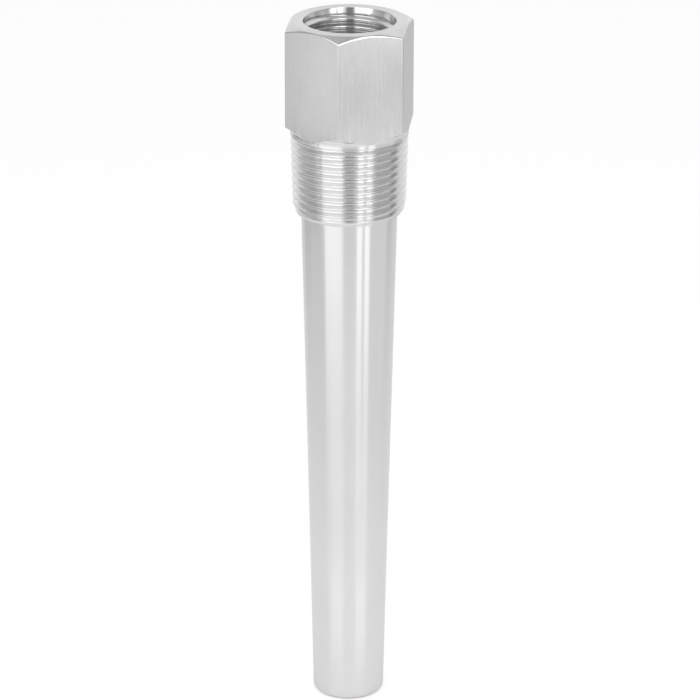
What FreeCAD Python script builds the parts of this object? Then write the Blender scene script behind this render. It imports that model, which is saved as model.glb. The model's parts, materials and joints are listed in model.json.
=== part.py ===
import FreeCAD
import Part

import math
import os

# Thermowell turned from one steel bar, in millimetres
# The tip's end face is centred on the origin, +Z runs up to the open end, and two corners
# of the hexagon lie in the YZ plane

# Tapered shank
shank_length = 120.0  # tip to the end of the process thread
tip_diameter = 16.5
tip_round = 1.5
root_shoulder = 1.2  # width of the thread's end face outside the shank
root_round = 0.8

# Process thread, 3/4 inch taper pipe, as the solid under its crests
thread_length = 18.5
thread_small_diameter = 25.9  # over the crests, just above the chamfer at the small end
thread_taper = 1.0 / 16.0  # growth in diameter for each unit of length
lead_in_length = 2.0  # the chamfer at the small end, along the axis
lead_in_depth = 0.75  # and in from the crests

# Hexagon
hex_across_flats = 27.0
hex_length = 26.5
top_face_inset = 0.35  # the flat top ring ends this far inside the flats
top_chamfer_angle = 30.0  # from level
base_chamfer_angle = 30.0  # from level
collar_height = 1.7  # turned round between the process thread and the chamfer of the corners
collar_round = 2.0  # where the collar turns into that chamfer

# Instrument connection, 1/2 inch parallel pipe thread, as its tapping drill
mouth_diameter = 21.2  # at the top face, a little over the thread's roots
mouth_depth = 1.6
mouth_flare = 14.0  # the mouth's wall leans out by this angle
entry_chamfer_angle = 45.0  # from the axis, between the mouth and the thread
instrument_drill_diameter = 19.0
instrument_drill_depth = 23.0  # from the top face to the end of the full diameter

# Sensor bore
sensor_bore_diameter = 7.0
tip_thickness = 6.5  # metal between the drill point and the end face
drill_point_angle = 118.0

# Heights that follow
base_height = shank_length + thread_length
top_height = base_height + hex_length


def at(radius, height):
    """A point of a turned outline."""
    return FreeCAD.Vector(radius, 0.0, height)


def rounded_corner(before, corner, after, radius):
    """The arc of this radius that rounds the corner of an outline, as an edge."""
    back = (before - corner).normalize()
    ahead = (after - corner).normalize()
    half_angle = back.getAngle(ahead) / 2.0
    reach = radius / math.tan(half_angle)
    bisector = (back + ahead).normalize()
    centre_distance = radius / math.sin(half_angle)
    start = corner + back * reach
    middle = corner + bisector * (centre_distance - radius)
    end = corner + ahead * reach
    return Part.Arc(start, middle, end).toShape()


def turned(outline):
    """Revolve an outline of (point, corner radius) pairs about the Z axis."""
    edges = []
    last = outline[0][0]
    for i in range(1, len(outline)):
        point, radius = outline[i]
        if radius > 0.0:
            arc = rounded_corner(outline[i - 1][0], point, outline[i + 1][0], radius)
            start = arc.firstVertex(True).Point
            end = arc.lastVertex(True).Point
            edges.append(Part.makeLine(last, start))
            edges.append(arc)
            last = end
        else:
            edges.append(Part.makeLine(last, point))
            last = point
    edges.append(Part.makeLine(last, outline[0][0]))
    face = Part.Face(Part.Wire(edges))
    return face.revolve(FreeCAD.Vector(0, 0, 0), FreeCAD.Vector(0, 0, 1), 360.0)


def drill_point_height(radius):
    """Height of the cone that a drill leaves below this radius."""
    return radius / math.tan(math.radians(drill_point_angle / 2.0))


def thread_end_radius():
    """Radius over the crests at the hexagon, where the collar goes on from the thread."""
    return (thread_small_diameter + (thread_length - lead_in_length) * thread_taper) / 2.0


def stem():
    """Shank and process thread, run up into the hexagon so that the two fuse."""
    tip_radius = tip_diameter / 2.0
    small_radius = thread_small_diameter / 2.0
    end_radius = small_radius - lead_in_depth
    root_radius = end_radius - root_shoulder
    overlap = hex_length / 2.0
    return turned([
        (at(0.0, 0.0), 0.0),
        (at(tip_radius, 0.0), tip_round),
        (at(root_radius, shank_length), root_round),
        (at(end_radius, shank_length), 0.0),
        (at(small_radius, shank_length + lead_in_length), 0.0),
        (at(thread_end_radius(), base_height), 0.0),
        (at(root_radius, base_height), 0.0),
        (at(root_radius, base_height + overlap), 0.0),
        (at(0.0, base_height + overlap), 0.0),
    ])


def hexagon():
    """Hexagonal bar faced and chamfered in the lathe at both ends, with a round collar below."""
    sides = 6
    apothem = hex_across_flats / 2.0
    corner_radius = apothem / math.cos(math.pi / sides)
    corners = []
    for i in range(sides + 1):
        angle = math.pi * (2 * i + 1) / sides
        x = corner_radius * math.cos(angle)
        y = corner_radius * math.sin(angle)
        corners.append(FreeCAD.Vector(x, y, base_height))
    bar = Part.Face(Part.makePolygon(corners)).extrude(FreeCAD.Vector(0, 0, hex_length))

    room_outside = 1.0  # the chamfers are cut by a turned blank wider than the corners
    blank_radius = corner_radius + room_outside
    top_radius = apothem - top_face_inset
    collar_radius = thread_end_radius()
    collar_top = base_height + collar_height
    top_drop = (blank_radius - top_radius) * math.tan(math.radians(top_chamfer_angle))
    base_rise = (blank_radius - collar_radius) * math.tan(math.radians(base_chamfer_angle))
    blank = turned([
        (at(0.0, base_height), 0.0),
        (at(collar_radius, base_height), 0.0),
        (at(collar_radius, collar_top), collar_round),
        (at(blank_radius, collar_top + base_rise), 0.0),
        (at(blank_radius, top_height - top_drop), 0.0),
        (at(top_radius, top_height), 0.0),
        (at(0.0, top_height), 0.0),
    ])
    return bar.common(blank)


def cavity():
    """Mouth, entry chamfer, tapping drill and sensor bore as one turned tool."""
    mouth_radius = mouth_diameter / 2.0
    flare = math.tan(math.radians(mouth_flare))
    entry_radius = mouth_radius - mouth_depth * flare
    drill_radius = instrument_drill_diameter / 2.0
    bore_radius = sensor_bore_diameter / 2.0
    entry_top = top_height - mouth_depth
    entry_width = entry_radius - drill_radius
    entry_end = entry_top - entry_width / math.tan(math.radians(entry_chamfer_angle))
    drill_end = top_height - instrument_drill_depth
    cone_end = drill_end - drill_point_height(drill_radius - bore_radius)
    bore_end = tip_thickness + drill_point_height(bore_radius)
    run_out = 1.0
    return turned([
        (at(0.0, tip_thickness), 0.0),
        (at(bore_radius, bore_end), 0.0),
        (at(bore_radius, cone_end), 0.0),
        (at(drill_radius, drill_end), 0.0),
        (at(drill_radius, entry_end), 0.0),
        (at(entry_radius, entry_top), 0.0),
        (at(mouth_radius + run_out * flare, top_height + run_out), 0.0),
        (at(0.0, top_height + run_out), 0.0),
    ])


def thermowell():
    """The whole piece, bored from one bar."""
    blank = stem().fuse(hexagon())
    return blank.cut(cavity()).removeSplitter()


os.makedirs("parts", exist_ok=True)
body = thermowell()
body.exportStep("parts/thermowell.step")
state = "valid" if body.isValid() else "not valid"
print("thermowell", state, len(body.Solids), "solid", round(body.Volume), "mm3")
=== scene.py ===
import json
import math

import bmesh
import bpy
from mathutils import Matrix, Vector


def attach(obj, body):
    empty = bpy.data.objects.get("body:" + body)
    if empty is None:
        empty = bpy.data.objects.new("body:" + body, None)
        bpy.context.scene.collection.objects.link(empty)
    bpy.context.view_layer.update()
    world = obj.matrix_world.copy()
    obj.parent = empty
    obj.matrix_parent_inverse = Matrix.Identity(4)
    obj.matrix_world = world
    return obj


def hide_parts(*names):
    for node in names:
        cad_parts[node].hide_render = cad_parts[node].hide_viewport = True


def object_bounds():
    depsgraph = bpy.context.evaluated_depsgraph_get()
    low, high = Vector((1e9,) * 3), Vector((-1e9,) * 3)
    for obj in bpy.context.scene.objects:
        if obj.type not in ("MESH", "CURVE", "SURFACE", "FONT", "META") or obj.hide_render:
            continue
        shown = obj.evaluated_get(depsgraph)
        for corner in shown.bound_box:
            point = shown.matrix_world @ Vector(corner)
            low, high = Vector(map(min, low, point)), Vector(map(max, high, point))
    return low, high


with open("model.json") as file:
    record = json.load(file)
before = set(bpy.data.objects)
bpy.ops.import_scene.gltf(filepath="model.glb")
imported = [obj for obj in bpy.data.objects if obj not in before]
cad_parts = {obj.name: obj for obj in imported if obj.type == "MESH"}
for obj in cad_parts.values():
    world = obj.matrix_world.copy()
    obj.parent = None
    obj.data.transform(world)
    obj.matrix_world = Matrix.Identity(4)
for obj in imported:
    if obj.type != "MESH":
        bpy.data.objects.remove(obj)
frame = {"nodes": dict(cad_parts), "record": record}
cadLow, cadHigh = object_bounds()
scene = bpy.context.scene
mm = 0.001
print("frame loaded,", len(frame["nodes"]), "node")

mounts = {m["name"]: m for m in frame["record"]["mounts"]}
socketMount = mounts["instrument_thread"]
boreMount = mounts["sensor_bore"]
pipeMount = mounts["process_thread"]

# The blank, in millimetres from the tip's end face, and in degrees
well = {
    "top": cadHigh.z / mm,
    "apothem": cadHigh.x / mm - 0.0001,  # a hair inside the solid's flats
    "hexBase": pipeMount["pos_m"][2] / mm,
    "threadLength": pipeMount["dims"]["length_mm"],
    "crestRadius": pipeMount["dims"]["r_mm"],  # above the chamfer at the small end
    "drillTop": socketMount["pos_m"][2] / mm,
    "drillRadius": socketMount["dims"]["r_mm"],
    "drillLength": socketMount["dims"]["length_mm"],
    "boreRadius": boreMount["dims"]["r_mm"],
    "boreTop": boreMount["pos_m"][2] / mm,
    "boreLength": boreMount["dims"]["length_mm"],
    "drillPoint": 118.0,
    "tipRadius": 8.25,
    "tipRound": 1.5,
    "rootShoulder": 1.2,  # width of the thread's end face outside the shank
    "rootRound": 0.8,
    "leadInLength": 2.0,
    "leadInDepth": 0.75,
    "taper": 1 / 32,  # growth in radius for each unit of length
    "cornerRound": 0.3,
    "edgeRound": 0.45,  # between the flats and the top chamfer
    "ringInset": 0.35,  # the flat top ring ends this far inside the flats
    "ringRound": 0.2,
    "topChamfer": 30.0,
    "baseChamfer": 30.0,
    "collarHeight": 1.7,  # up to where the collar would meet that chamfer
    "collarRound": 2.0,
    "baseEdgeRound": 0.05,
    "mouthRadius": 10.6,
    "mouthDepth": 1.6,
    "mouthFlare": 14.0,
    "mouthRound": 0.2,
}
well["shankTop"] = well["hexBase"] - well["threadLength"]
well["leadInTop"] = well["shankTop"] + well["leadInLength"]
well["endRadius"] = well["crestRadius"] - well["leadInDepth"]
well["rootRadius"] = well["endRadius"] - well["rootShoulder"]
well["collarRadius"] = well["crestRadius"] + (well["hexBase"] - well["leadInTop"]) * well["taper"]
well["mouthBottom"] = well["top"] - well["mouthDepth"]

# Both threads, 14 turns to the inch, right-handed
pipeThread = {
    "pitch": 25.4 / 14,
    "crestHeight": 136.95,  # a crest on the -Y side
    "depth": 1.09,
    "flank": 30.0,
    "crestFlat": 0.10,
    "crestRound": 0.08,
    "crestSteps": 2,
    "rootRound": 0.2,
    "rootSteps": 3,
    "rootMargin": 0.1,  # the grooves stay this far outside the rounding at the shank's root
    "fade": 0.5,  # and run out over this length below the hexagon
}
socketThread = {
    "pitch": 25.4 / 14,
    "crestHeight": 161.41,
    "crestRadius": 9.32,  # before the drill takes the crests off
    "depth": 1.15,
    "flank": 30.0,
    "crestFlat": 0.12,
    "crestRound": 0.25,
    "crestSteps": 3,
    "rootRound": 0.25,
    "rootSteps": 3,
    "top": 164.2,  # the uppermost groove reaches into the mouth's wall
    "length": 15.3,
    "fade": 3.0,  # the grooves run out over this length at the bottom
    "topFade": 0.35,  # and over this one at the top
}

# How finely the surface is made, lengths in millimetres
making = {
    "cornerSteps": 3,  # columns over half of a corner's rounding
    "besideCorner": [1, 1.8, 3, 4.5],  # columns in degrees from a corner
    "alongFlat": [6 + 1.9 * i for i in range(12)],
    "midFlat": [28.4, 30],
    "tipRings": [0, 2.5, 5],  # radii on the end face
    "tipSteps": 10,
    "shankSteps": 14,
    "rootSteps": 6,
    "collarFoot": 0.1,  # the collar's first ring is this far above the thread
    "collarSteps": 6,
    "baseEdgeSteps": 3,
    "flatSteps": 4,
    "flatLead": 2.0,  # how much of a flat the roundings at its ends look at
    "topEdgeSteps": 4,
    "wallRing": 0.3,  # the mouth's wall has a ring this far below the top
    "socketRing": 0.2,  # and this far above the thread
    "boreSteps": 10,
    "arcShare": 0.48,  # the most that a rounding takes of either side
    "leastFlank": 0.02,  # what a cut crest leaves of its flank, along the axis
    "cutRounds": 4,  # a cut and the height it leads to settle in so many rounds
    "samePlace": 1e-6,  # closer points of an outline have no corner to round
    "apart": 1e-5,  # keeps the base chamfer's end off its start where it has no length
    "weld": 0.0002,  # closer points of the surface become one
    "sliver": 0.0001,
    "crease": 34.0,  # degrees from which an edge is sharp
    "normalWeight": 60,
}
turnedFinish = 0
drawnFinish = 1
cornerAngle = 30  # from the middle of a flat to a corner, in degrees


def tangent(degrees):
    return math.tan(math.radians(degrees))


def smooth(share):
    share = min(max(share, 0), 1)
    return share * share * (3 - 2 * share)


def between(x, xs, ys):
    for i in range(1, len(xs)):
        if xs[i] >= x:
            share = (x - xs[i - 1]) / (xs[i] - xs[i - 1])
            return ys[i - 1] + share * (ys[i] - ys[i - 1])
    return ys[-1]


# Outlines are lists of (radius, height), in millimetres

def arcPoints(before, corner, after, rounding, steps):
    # the corner of an outline as an arc; it shrinks where its sides are short
    back = Vector(before) - Vector(corner)
    ahead = Vector(after) - Vector(corner)
    if min(back.length, ahead.length) < making["samePlace"]:
        return [tuple(corner)] * (steps + 1)
    half = back.angle(ahead) / 2
    longest = making["arcShare"] * min(back.length, ahead.length)
    reach = min(rounding / math.tan(half), longest)
    back.normalize()
    ahead.normalize()
    rounding = reach * math.tan(half)
    middle = Vector(corner) + (back + ahead).normalized() * rounding / math.sin(half)
    start = Vector(corner) + back * reach - middle
    sweep = math.copysign(math.pi - 2 * half, back.x * ahead.y - back.y * ahead.x)
    turns = [Matrix.Rotation(-sweep * i / steps, 2) for i in range(steps + 1)]
    return [tuple(middle + turn @ start) for turn in turns]


def eased(points, steps):
    # an outline of (radius, height, rounding), without its two end points
    made = []
    for before, corner, after in zip(points, points[1:], points[2:]):
        if corner[2] > 0:
            made += arcPoints(before[:2], corner[:2], after[:2], corner[2], steps)
        else:
            made.append(corner[:2])
    return made


def straight(start, end, steps):
    # the points between two ends, without the ends
    return [
        tuple(Vector(start).lerp(Vector(end), i / steps))
        for i in range(1, steps)
    ]


def cornerMiddle():
    # distance from the axis to the middle of a corner's rounding
    return (well["apothem"] - well["cornerRound"]) / math.cos(math.radians(cornerAngle))


def roundedAngle():
    # from a corner to where its rounding meets the flat, in radians
    along = well["cornerRound"] * math.sin(math.radians(cornerAngle))
    across = cornerMiddle() + well["cornerRound"] * math.cos(math.radians(cornerAngle))
    return math.atan2(along, across)


def hexRadius(degrees):
    # distance from the axis to the hexagon's side; its corners are at 30, 90, 150...
    off = math.radians(abs(degrees % (2 * cornerAngle) - cornerAngle))
    if off < roundedAngle():
        beside = cornerMiddle() * math.sin(off)
        return cornerMiddle() * math.cos(off) + math.sqrt(well["cornerRound"] ** 2 - beside ** 2)
    return well["apothem"] / math.cos(math.radians(cornerAngle) - off)


def columnAngles():
    # closer beside the corners, and the same on both sides of each
    turn = math.degrees(roundedAngle())
    half = [turn * i / making["cornerSteps"] for i in range(making["cornerSteps"] + 1)]
    half += making["besideCorner"] + making["alongFlat"] + making["midFlat"]
    angles = set()
    for corner in range(cornerAngle, 360, 2 * cornerAngle):
        for off in half:
            angles.add(round((corner + off) % 360, 6))
            angles.add(round((corner - off) % 360, 6))
    return sorted(angles)


class Skin:
    # rings of points round the axis, joined into one closed surface
    def __init__(self, degrees):
        self.mesh = bmesh.new()
        self.degrees = degrees
        self.angles = [math.radians(a) for a in degrees]
        self.last = None

    def ring(self, points):
        made = []
        for (radius, height), angle in zip(points, self.angles):
            place = Vector((radius * math.cos(angle), radius * math.sin(angle), height))
            made.append(self.mesh.verts.new(place * mm))
        return made

    def rings(self, columns, finish=turnedFinish, lift=0):
        # columns holds each angle's outline; lift is the rows that a helix gains in one turn
        rows = [self.ring(row) for row in zip(*columns)]
        if self.last:
            self.join([self.last, rows[0]], 0, finish)
        self.join(rows, lift, finish)
        self.last = rows[-1]

    def turned(self, outline):
        self.rings([outline] * len(self.angles))

    def join(self, rows, lift, finish):
        top = len(rows) - 1
        count = len(self.angles)
        for j in range(top):
            for i in range(count):
                across = (i + 1) % count
                gain = lift if across == 0 else 0
                near = min(max(j + gain, 0), top)
                far = min(max(j + 1 + gain, 0), top)
                corners = [rows[j][i], rows[near][across], rows[far][across], rows[j + 1][i]]
                if near == far:
                    corners.pop(2)
                self.mesh.faces.new(corners).material_index = finish

    def close(self, name):
        mesh = self.mesh
        bmesh.ops.remove_doubles(mesh, verts=mesh.verts, dist=making["weld"] * mm)
        bmesh.ops.dissolve_degenerate(mesh, edges=mesh.edges, dist=making["sliver"] * mm)
        bmesh.ops.recalc_face_normals(mesh, faces=mesh.faces)
        for face in mesh.faces:
            face.smooth = True
        for edge in mesh.edges:
            edge.smooth = edge.calc_face_angle(0) < math.radians(making["crease"])
        loose = sum(not edge.is_manifold for edge in mesh.edges)
        data = bpy.data.meshes.new(name)
        mesh.to_mesh(data)
        mesh.free()
        triangles = sum(len(face.vertices) - 2 for face in data.polygons)
        print(name, len(data.vertices), "points,", triangles, "triangles,", loose, "open edges")
        return data


# Shank, from the end face up to the process thread

def makeShank(skin):
    foot = (well["tipRadius"], 0)
    root = (well["rootRadius"], well["shankTop"])
    shoulder = (well["endRadius"], well["shankTop"], 0)
    skin.turned([(radius, 0) for radius in making["tipRings"]])
    skin.turned(eased([(0, 0, 0), (*foot, well["tipRound"]), (*root, 0)], making["tipSteps"]))
    skin.turned(straight(foot, root, making["shankSteps"]))
    skin.turned(eased([(*foot, 0), (*root, well["rootRound"]), shoulder], making["rootSteps"]))


# Threads

def turnCorners(thread, middle, surface):
    # one turn, groove to groove, about a crest at this height, as (height, depth, rounding, steps)
    half = thread["pitch"] / 2
    slope = tangent(thread["flank"])
    halfFlat = thread["crestFlat"] / 2
    halfRoot = half - halfFlat - thread["depth"] * slope
    root = (thread["depth"], thread["rootRound"], thread["rootSteps"])
    crests = []
    for side in (-1, 1):
        off = halfFlat
        for _ in range(making["cutRounds"]):
            cut = surface(middle + side * off)[2]
            off = min(halfFlat + slope * cut, half - halfRoot - making["leastFlank"])
        depth = (off - halfFlat) / slope
        crests.append((middle + side * off, depth, thread["crestRound"], thread["crestSteps"]))
    return [
        (middle - half, thread["depth"], 0, 0),
        (middle - half + halfRoot, *root),
        *crests,
        (middle + half - halfRoot, *root),
        (middle + half, thread["depth"], 0, 0),
    ]


def turnRows(thread):
    # points that turnCorners gives in one turn, once rounded
    return 1 + 2 * (thread["crestSteps"] + 1) + 2 * (thread["rootSteps"] + 1)


def threadOutline(thread, angle, low, high, surface):
    # one angle's outline through every turn from low to high
    # surface gives, at a height, the crest line, which way is deeper, and what is cut off the crest
    pitch = thread["pitch"]
    first = thread["crestHeight"] + pitch * (angle + 90) / 360  # one pitch higher in each turn
    first -= math.ceil((thread["crestHeight"] - low) / pitch + 1) * pitch
    turns = math.ceil((high - low) / pitch) + 3  # some to spare at both ends
    made = []
    for k in range(turns):
        corners = turnCorners(thread, first + k * pitch, surface)
        made.append(corners[0][:2])
        for before, corner, after in zip(corners, corners[1:], corners[2:]):
            made += arcPoints(before[:2], corner[:2], after[:2], *corner[2:])
    heights, depths = zip(*made)
    outline = []
    for height, depth in made:
        if not low <= height <= high:
            height = min(max(height, low), high)
            depth = between(height, heights, depths)
        crest, way, cut = surface(height)
        outline.append((crest + way * max(depth, cut), height))
    return outline


def pipeSurface(height):
    # the process thread's crest line, and the chamfer at its small end
    crest = well["crestRadius"] + (height - well["leadInTop"]) * well["taper"]
    inward = (well["leadInTop"] - height) * well["leadInDepth"] / well["leadInLength"]
    return crest, -1, max(0, crest - (well["crestRadius"] - inward))


def pipeColumn(angle):
    least = well["rootRadius"] + well["rootRound"] + pipeThread["rootMargin"]
    outline = threadOutline(pipeThread, angle, well["shankTop"], well["hexBase"], pipeSurface)
    made = []
    for radius, height in outline:
        crest = pipeSurface(height)[0]
        share = smooth((height - well["hexBase"] + pipeThread["fade"]) / pipeThread["fade"])
        made.append((max(radius + (crest - radius) * share, least), height))
    return made


def mouthWall(height):
    return well["mouthRadius"] - (well["top"] - height) * tangent(well["mouthFlare"])


def socketWall(height):
    # the socket before its thread is cut: the tapping drill, and the mouth above it
    if height > well["mouthBottom"]:
        return max(well["drillRadius"], mouthWall(height))
    return well["drillRadius"]


def socketSurface(height):
    # the instrument thread's crest line, cut away by the drill and the mouth
    crest = socketThread["crestRadius"]
    return crest, 1, socketWall(height) - crest


def socketColumn(angle):
    top = socketThread["top"]
    bottom = top - socketThread["length"]
    outline = threadOutline(socketThread, angle, bottom, top, socketSurface)
    made = []
    for radius, height in reversed(outline):
        fromBottom = smooth((height - bottom) / socketThread["fade"])
        fromTop = smooth((top - height) / socketThread["topFade"])
        wall = socketWall(height)
        made.append((wall + (radius - wall) * min(fromBottom, fromTop), height))
    return made


# Hexagon, with its collar below and the rim above

def collarProfile(across):
    # up the collar, round its fillet and out along the chamfer to this radius
    collar = well["collarRadius"]
    turn = math.radians(90 - well["baseChamfer"])
    foot = well["hexBase"] + well["collarHeight"] - well["collarRound"] * math.tan(turn / 2)
    reach = min(turn, math.acos(max(-1, 1 - (across - collar) / well["collarRound"])))
    made = [(collar, well["hexBase"] + making["collarFoot"], 0), (collar, foot, 0)]
    for i in range(1, making["collarSteps"] + 1):
        angle = reach * i / making["collarSteps"]
        radius = collar + well["collarRound"] * (1 - math.cos(angle))
        made.append((radius, foot + well["collarRound"] * math.sin(angle), 0))
    radius, height = made[-1][:2]
    end = height + (across - radius) * tangent(well["baseChamfer"]) + making["apart"]
    return made + [(across, end, well["baseEdgeRound"])]


def headColumn(angle, threadTop):
    # one angle's outlines: collar and base chamfer, flat, then top chamfer, ring and mouth
    across = hexRadius(angle)
    profile = collarProfile(across)
    flatStart = (across, profile[-1][1] + making["flatLead"], 0)
    lower = eased([(threadTop, well["hexBase"], 0), *profile, flatStart], making["baseEdgeSteps"])

    ring = well["apothem"] - well["ringInset"]
    edge = well["top"] - (across - ring) * tangent(well["topChamfer"])
    upper = eased([
        (across, edge - making["flatLead"], 0),
        (across, edge, well["edgeRound"]),
        (ring, well["top"], well["ringRound"]),
        (well["mouthRadius"], well["top"], well["mouthRound"]),
        (mouthWall(well["mouthBottom"]), well["mouthBottom"], 0),
    ], making["topEdgeSteps"])
    flat = straight(lower[-1], upper[0], making["flatSteps"]) + [upper[0]]
    return lower, flat, upper


def makeHead(skin):
    pipe = [pipeColumn(a) for a in skin.degrees]
    skin.rings(pipe, turnedFinish, turnRows(pipeThread))
    heads = [headColumn(a, column[-1][0]) for a, column in zip(skin.degrees, pipe)]
    lower, flats, upper = zip(*heads)
    skin.rings(lower, turnedFinish)
    skin.rings(flats, drawnFinish)
    skin.rings(upper, turnedFinish)


# Socket and bore, from the mouth down

def makeSocket(skin):
    heights = (well["top"] - making["wallRing"], socketThread["top"] + making["socketRing"])
    skin.turned([(mouthWall(height), height) for height in heights])
    skin.rings([socketColumn(a) for a in skin.degrees], turnedFinish, -turnRows(socketThread))


def makeBore(skin):
    drill = well["drillRadius"]
    bore = well["boreRadius"]
    slope = tangent(well["drillPoint"] / 2)
    drillEnd = well["drillTop"] - well["drillLength"]
    boreTop = (bore, well["boreTop"])
    boreEnd = (bore, well["boreTop"] - well["boreLength"])
    skin.turned([(drill, drillEnd)])
    skin.turned([(bore, drillEnd - (drill - bore) / slope)])
    skin.turned(straight(boreTop, boreEnd, making["boreSteps"]))
    skin.turned([boreEnd, (0, boreEnd[1] - bore / slope)])


skin = Skin(columnAngles())
makeShank(skin)
makeHead(skin)
makeSocket(skin)
makeBore(skin)
bodyMesh = skin.close("thermowellBody")
body = bpy.data.objects.new("thermowellBody", bodyMesh)
scene.collection.objects.link(body)
weighted = body.modifiers.new("evenNormals", "WEIGHTED_NORMAL")
weighted.keep_sharp = True
weighted.weight = making["normalWeight"]


# Finishes

class Wire:
    # one socket of a shader; arithmetic on wires adds Math nodes
    def __init__(self, tree, socket=None):
        self.tree = tree
        self.socket = socket

    def node(self, kind, settings=None, inputs=None, output=0):
        made = self.tree.nodes.new("ShaderNode" + kind)
        for name, value in (settings or {}).items():
            if name == "stops":
                for element, (place, colour) in zip(made.color_ramp.elements, value):
                    element.position = place
                    element.color = (*colour, 1)
            else:
                setattr(made, name, value)
        for name, value in (inputs or {}).items():
            if isinstance(value, Wire):
                self.tree.links.new(value.socket, made.inputs[name])
            else:
                made.inputs[name].default_value = value
        return Wire(self.tree, made.outputs[output] if len(made.outputs) else None)

    def sibling(self, name):
        # another output of the same node
        return Wire(self.tree, self.socket.node.outputs[name])

    def maths(self, operation, first, second=0.0):
        return self.node("Math", {"operation": operation}, {0: first, 1: second})

    def __add__(self, other):
        return self.maths("ADD", self, other)

    def __sub__(self, other):
        return self.maths("SUBTRACT", self, other)

    def __rsub__(self, other):
        return self.maths("SUBTRACT", other, self)

    def __mul__(self, other):
        return self.maths("MULTIPLY", self, other)

    __radd__ = __add__
    __rmul__ = __mul__


def newMaterial(name):
    material = bpy.data.materials.new(name)
    material.use_nodes = True
    material.node_tree.nodes.clear()
    return material, Wire(material.node_tree)


noiseRange = (0.3, 0.7)  # where nearly all of a noise texture's values lie


def steelSurface(wire, finish, marks, cloud):
    # marks and cloud, from 0 to 1, drive the grey and the roughness, and marks the bump too
    shares = marks * (1 - finish["cloudShare"]) + cloud * finish["cloudShare"]
    stops = list(zip(noiseRange, (finish["dark"], finish["light"])))
    roughened = marks * finish["marksRoughen"] + cloud * finish["cloudRoughens"]
    steel = wire.node("BsdfPrincipled", None, {
        "Base Color": wire.node("ValToRGB", {"stops": stops}, {0: shares}),
        "Metallic": 1.0,
        "Roughness": roughened + finish["roughness"],
        "Anisotropic": finish["anisotropy"],
        "Anisotropic Rotation": finish["anisotropyTurn"],
        "Normal": wire.node("Bump", None, {
            "Strength": 1.0,
            "Distance": finish["markHeight"] * mm,
            "Height": marks,
        }),
    })
    wire.node("OutputMaterial", None, {"Surface": steel})


turned = {
    "dark": (0.71, 0.712, 0.715),
    "light": (0.77, 0.77, 0.77),
    "roughness": 0.15,  # before the marks and the cloud add theirs
    "marksRoughen": 0.10,
    "cloudRoughens": 0.05,
    "anisotropy": 0.9,
    "anisotropyTurn": 0.25,  # a quarter turn: reflections stretch along the piece's axis
    "toolMarks": 2.2,  # marks for each millimetre along the outline
    "toolShare": 0.6,
    "fineMarks": 9.0,
    "markHeight": 0.0005,  # millimetres
    "cloudScale": 60.0,
    "cloudShare": 0.5,
}


def turnedSteel():
    material, wire = newMaterial("turnedSteel")
    place = wire.node("TexCoord", output="Object")
    parts = wire.node("SeparateXYZ", None, {0: place})
    x, y, z = (parts.sibling(axis) * (1 / mm) for axis in "XYZ")
    along = z - wire.maths("SQRT", x * x + y * y)  # runs along every turned face, level or upright

    def ringNoise(marks, detail):
        values = {"W": along * marks, "Detail": detail}
        return wire.node("TexNoise", {"noise_dimensions": "1D"}, values)

    coarse = ringNoise(turned["toolMarks"], 3.0)
    fine = ringNoise(turned["fineMarks"], 1.0)
    cloud = wire.node("TexNoise", None, {"Vector": place, "Scale": turned["cloudScale"], "Detail": 3.0})
    marks = coarse * turned["toolShare"] + fine * (1 - turned["toolShare"])
    steelSurface(wire, turned, marks, cloud)
    return material


drawn = {
    "dark": (0.58, 0.58, 0.583),
    "light": (0.63, 0.63, 0.63),
    "roughness": 0.21,  # before the lines and the cloud add theirs
    "marksRoughen": 0.08,
    "cloudRoughens": 0.04,
    "anisotropy": 0.0,
    "anisotropyTurn": 0.0,
    "drawLines": 3.5,  # lines for each millimetre across a flat
    "lineStretch": 0.03,  # the lines' scale along a flat, as a share of that across it
    "markHeight": 0.0008,  # millimetres
    "cloudScale": 180.0,
    "cloudShare": 0.5,
}


def drawnSteel():
    material, wire = newMaterial("drawnSteel")
    place = wire.node("TexCoord", output="Object")
    scale = (1 / mm, 1 / mm, drawn["lineStretch"] / mm)
    stretched = wire.node("Mapping", None, {"Vector": place, "Scale": scale})
    lines = wire.node("TexNoise", None, {"Vector": stretched, "Scale": drawn["drawLines"], "Detail": 4.0})
    cloud = wire.node("TexNoise", None, {"Vector": place, "Scale": drawn["cloudScale"], "Detail": 2.0})
    steelSurface(wire, drawn, lines, cloud)
    return material


body.data.materials.append(turnedSteel())
body.data.materials.append(drawnSteel())
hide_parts("thermowell")
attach(body, "root")
print("body dressed")


# Camera, in metres and degrees, with the focal length in pixels and the sensor in millimetres
view = {
    "distance": 0.9755,
    "azimuth": 9.33,
    "elevation": 20.605,
    "aimHeight": 0.08567,
    "aimRight": 0.00023,
    "roll": 0.118,
    "focalPixels": 4211.0,
    "pictureWidth": 700.0,
    "sensor": 36.0,
    "clipStart": 0.05,
    "clipEnd": 50.0,
}


def toward(degrees):
    # level direction away from the axis, so many degrees to the right of the camera
    angle = math.radians(degrees + view["azimuth"] - 90)
    return Vector((math.cos(angle), math.sin(angle), 0))


def makeCamera():
    camera = bpy.data.objects.new("camera", bpy.data.cameras.new("camera"))
    scene.collection.objects.link(camera)
    elevation = math.radians(view["elevation"])
    back = toward(0) * math.cos(elevation) + Vector((0, 0, math.sin(elevation)))
    aim = Vector((0, 0, view["aimHeight"])) + toward(90) * view["aimRight"]
    camera.location = aim + back * view["distance"]
    level = (-back).to_track_quat("-Z", "Y").to_matrix().to_4x4()
    roll = Matrix.Rotation(math.radians(view["roll"]), 4, "Z")
    camera.rotation_euler = (level @ roll).to_euler()
    camera.data.sensor_width = view["sensor"]
    camera.data.lens = view["focalPixels"] * view["sensor"] / view["pictureWidth"]
    camera.data.clip_start = view["clipStart"]
    camera.data.clip_end = view["clipEnd"]
    scene.camera = camera


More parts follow.
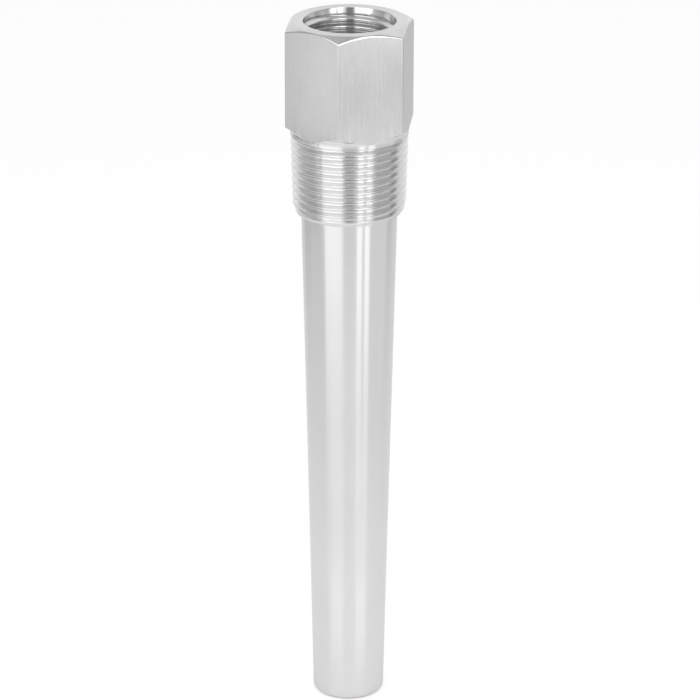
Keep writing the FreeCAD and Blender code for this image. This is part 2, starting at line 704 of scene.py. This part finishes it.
makeCamera()
scene.view_settings.view_transform = "Standard"
print("camera set")


# Studio, in metres: a white table in a white room
studio = {
    "floorSize": 12.0,
    "floorDrop": 2e-5,  # keeps the table's plane off the tip's
    "floorWhite": 0.87,
    "floorGlow": 1.1,
    "floorSeen": 0.7,  # how much the camera sees of the table's glow
    "floorMirrored": 0.05,  # and the steel
    "roomLevel": 1.0,  # what camera and reflections see
    "roomLight": 0.75,  # what lights the matt floor
    "cardStep": 12,  # degrees for each face of a card
}

# Upright light panels, and cards that only reflections see, where they hide the room
# Each has two azimuths in degrees to the right of the camera, then its distance, foot and top,
# and its level in a mirror, where the room is 1
lightPanels = {
    "leftTop": (-58.5, -14.3, 0.20, 0.32, 0.60, 1.5),
    "leftHigh": (-58.5, -14.3, 0.16, 0.12, 0.29, 1.0),
    "leftEdgeLight": (-70, -58.5, 0.20, 0.26, 0.44, 1.3),
    "leftLow": (-60, -14.3, 0.16, 0.029, 0.12, 0.48),
    "nearStripTop": (17.5, 30, 0.20, 0.32, 0.60, 2.8),
    "nearStripHigh": (17.5, 30, 0.16, 0.125, 0.29, 1.4),
    "nearStripLow": (18, 31, 0.16, 0.029, 0.095, 0.70),
    "farStripTop": (36, 50, 0.20, 0.32, 0.60, 2.8),
    "farStripHigh": (36, 50, 0.16, 0.125, 0.29, 1.3),
    "farStripLow": (36.5, 49.5, 0.16, 0.029, 0.095, 0.70),
    "rightLow": (52, 100, 0.16, 0.03, 0.09, 0.09),
    "frontLow": (-14, 18, 0.12, 0.02, 0.08, 0.14),
    "leftMiddle": (-46, -14, 0.06, 0.0, 0.055, 0.055),
    "rightMiddle": (18, 50, 0.06, 0.0, 0.055, 0.07),
    "frontFoot": (-60, 56, 0.03, 0.0, 0.02, 0.03),
    "leftFoot": (-50, -16, 0.03, 0.0, 0.02, 0.07),
    "rightFoot": (20, 48, 0.03, 0.0, 0.02, 0.10),
}
cards = {
    "leftNear": (-128, -70, 0.055, 0.123, 0.165, 0.82),
    "leftNearLight": (-70, -58, 0.055, 0.123, 0.165, 1.10),
    "leftThread": (-134, -66, 0.055, 0.106, 0.123, 0.36),
    "leftLow": (-134, -64, 0.26, 0.0, 0.12, 0.72),
    "leftMiddle": (-134, -62, 0.26, 0.12, 0.27, 0.38),
    "leftHigh": (-134, -82, 0.26, 0.27, 0.60, 0.42),
    "leftEdge": (-134, -104, 0.25, 0.04, 0.60, 0.42),
    "rightSide": (54, 96, 0.26, 0.12, 0.19, 0.68),
    "rightHigh": (54, 96, 0.26, 0.19, 0.60, 0.40),
    "rightEdge": (96, 120, 0.26, 0.05, 0.60, 0.42),
    "lensGap": (-11, 9, 0.6, 0.15, 0.9, 0.20),
    "back": (130, 230, 0.5, 0.25, 0.60, 0.88),
}
ceiling = {"radius": 0.35, "height": 0.75, "level": 0.48, "sides": 32}
topLight = {"size": 0.2, "height": 0.42, "level": 3.0}


def addMesh(name, mesh, material):
    data = bpy.data.meshes.new(name)
    mesh.to_mesh(data)
    mesh.free()
    data.materials.append(material)
    made = bpy.data.objects.new(name, data)
    scene.collection.objects.link(made)
    return made


def seenBy(wire, rays):
    # 1 for these kinds of ray, 0 for the others
    path = wire.node("LightPath")
    return wire.maths("MINIMUM", sum((path.sibling(ray) for ray in rays), 0.0), 1.0)


def makeFloor():
    half = studio["floorSize"] / 2
    mesh = bmesh.new()
    corners = [(-half, -half), (half, -half), (half, half), (-half, half)]
    mesh.faces.new([mesh.verts.new((x, y, -studio["floorDrop"])) for x, y in corners])
    material, wire = newMaterial("floorWhite")
    white = studio["floorWhite"]
    matt = wire.node("BsdfDiffuse", None, {"Color": (white, white, white, 1)})
    glow = wire.node("Emission", None, {"Strength": studio["floorGlow"]})
    seen = seenBy(wire, ["Is Camera Ray"])
    mirrored = seenBy(wire, ["Is Glossy Ray", "Is Transmission Ray"])
    share = seen * studio["floorSeen"] + mirrored * studio["floorMirrored"]
    mixed = wire.node("MixShader", None, {0: share, 1: matt, 2: glow})
    wire.node("OutputMaterial", None, {"Surface": mixed})
    floor = addMesh("floor", mesh, material)


def makeRoom():
    world = bpy.data.worlds.new("room")
    world.use_nodes = True
    world.node_tree.nodes.clear()
    wire = Wire(world.node_tree)
    seen = seenBy(wire, ["Is Camera Ray", "Is Glossy Ray", "Is Transmission Ray"])
    level = seen * (studio["roomLevel"] - studio["roomLight"]) + studio["roomLight"]
    back = wire.node("Background", None, {"Color": (1, 1, 1, 1), "Strength": level})
    wire.node("OutputWorld", None, {"Surface": back})
    scene.world = world


def addLamp(name, shape, size, area, level):
    lamp = bpy.data.lights.new(name, "AREA")
    lamp.shape = shape
    lamp.size = size
    lamp.energy = level * math.pi * area  # a mirror shows the lamp at its level
    light = bpy.data.objects.new(name, lamp)
    scene.collection.objects.link(light)
    return light


def makeTopLight():
    area = math.pi * (topLight["size"] / 2) ** 2
    light = addLamp("topLight", "DISK", topLight["size"], area, topLight["level"])
    light.location = (0, 0, topLight["height"])
    light.visible_glossy = False


def makeLightPanel(name, start, end, distance, low, high, level):
    outward = toward((start + end) / 2)
    width = 2 * distance * tangent((end - start) / 2)
    panel = addLamp(name, "RECTANGLE", width, width * (high - low), level)
    panel.data.size_y = high - low
    panel.location = outward * distance + Vector((0, 0, (low + high) / 2))
    panel.rotation_euler = outward.to_track_quat("Z", "Y").to_euler()


def addCard(name, mesh, level):
    material, wire = newMaterial(name)
    grey = wire.node("Emission", None, {"Strength": level})
    wire.node("OutputMaterial", None, {"Surface": grey})
    card = addMesh(name, mesh, material)
    card.visible_camera = False
    card.visible_diffuse = False
    card.visible_shadow = False
    card.visible_transmission = False


def makeCard(name, start, end, distance, low, high, level):
    steps = max(1, round((end - start) / studio["cardStep"]))
    mesh = bmesh.new()
    rows = []
    for i in range(steps + 1):
        place = toward(start + (end - start) * i / steps) * distance
        rows.append([mesh.verts.new(place + Vector((0, 0, height))) for height in (low, high)])
    for near, far in zip(rows, rows[1:]):
        mesh.faces.new([near[0], near[1], far[1], far[0]])
    addCard(name + "Card", mesh, level)


def makeCeiling():
    mesh = bmesh.new()
    bmesh.ops.create_circle(
        mesh,
        cap_ends=True,
        segments=ceiling["sides"],
        radius=ceiling["radius"],
        matrix=Matrix.Translation((0, 0, ceiling["height"])),
    )
    addCard("ceilingCard", mesh, ceiling["level"])


makeFloor()
makeRoom()
makeTopLight()
for name, panel in lightPanels.items():
    makeLightPanel(name, *panel)
for name, card in cards.items():
    makeCard(name, *card)
makeCeiling()
print("studio lit")
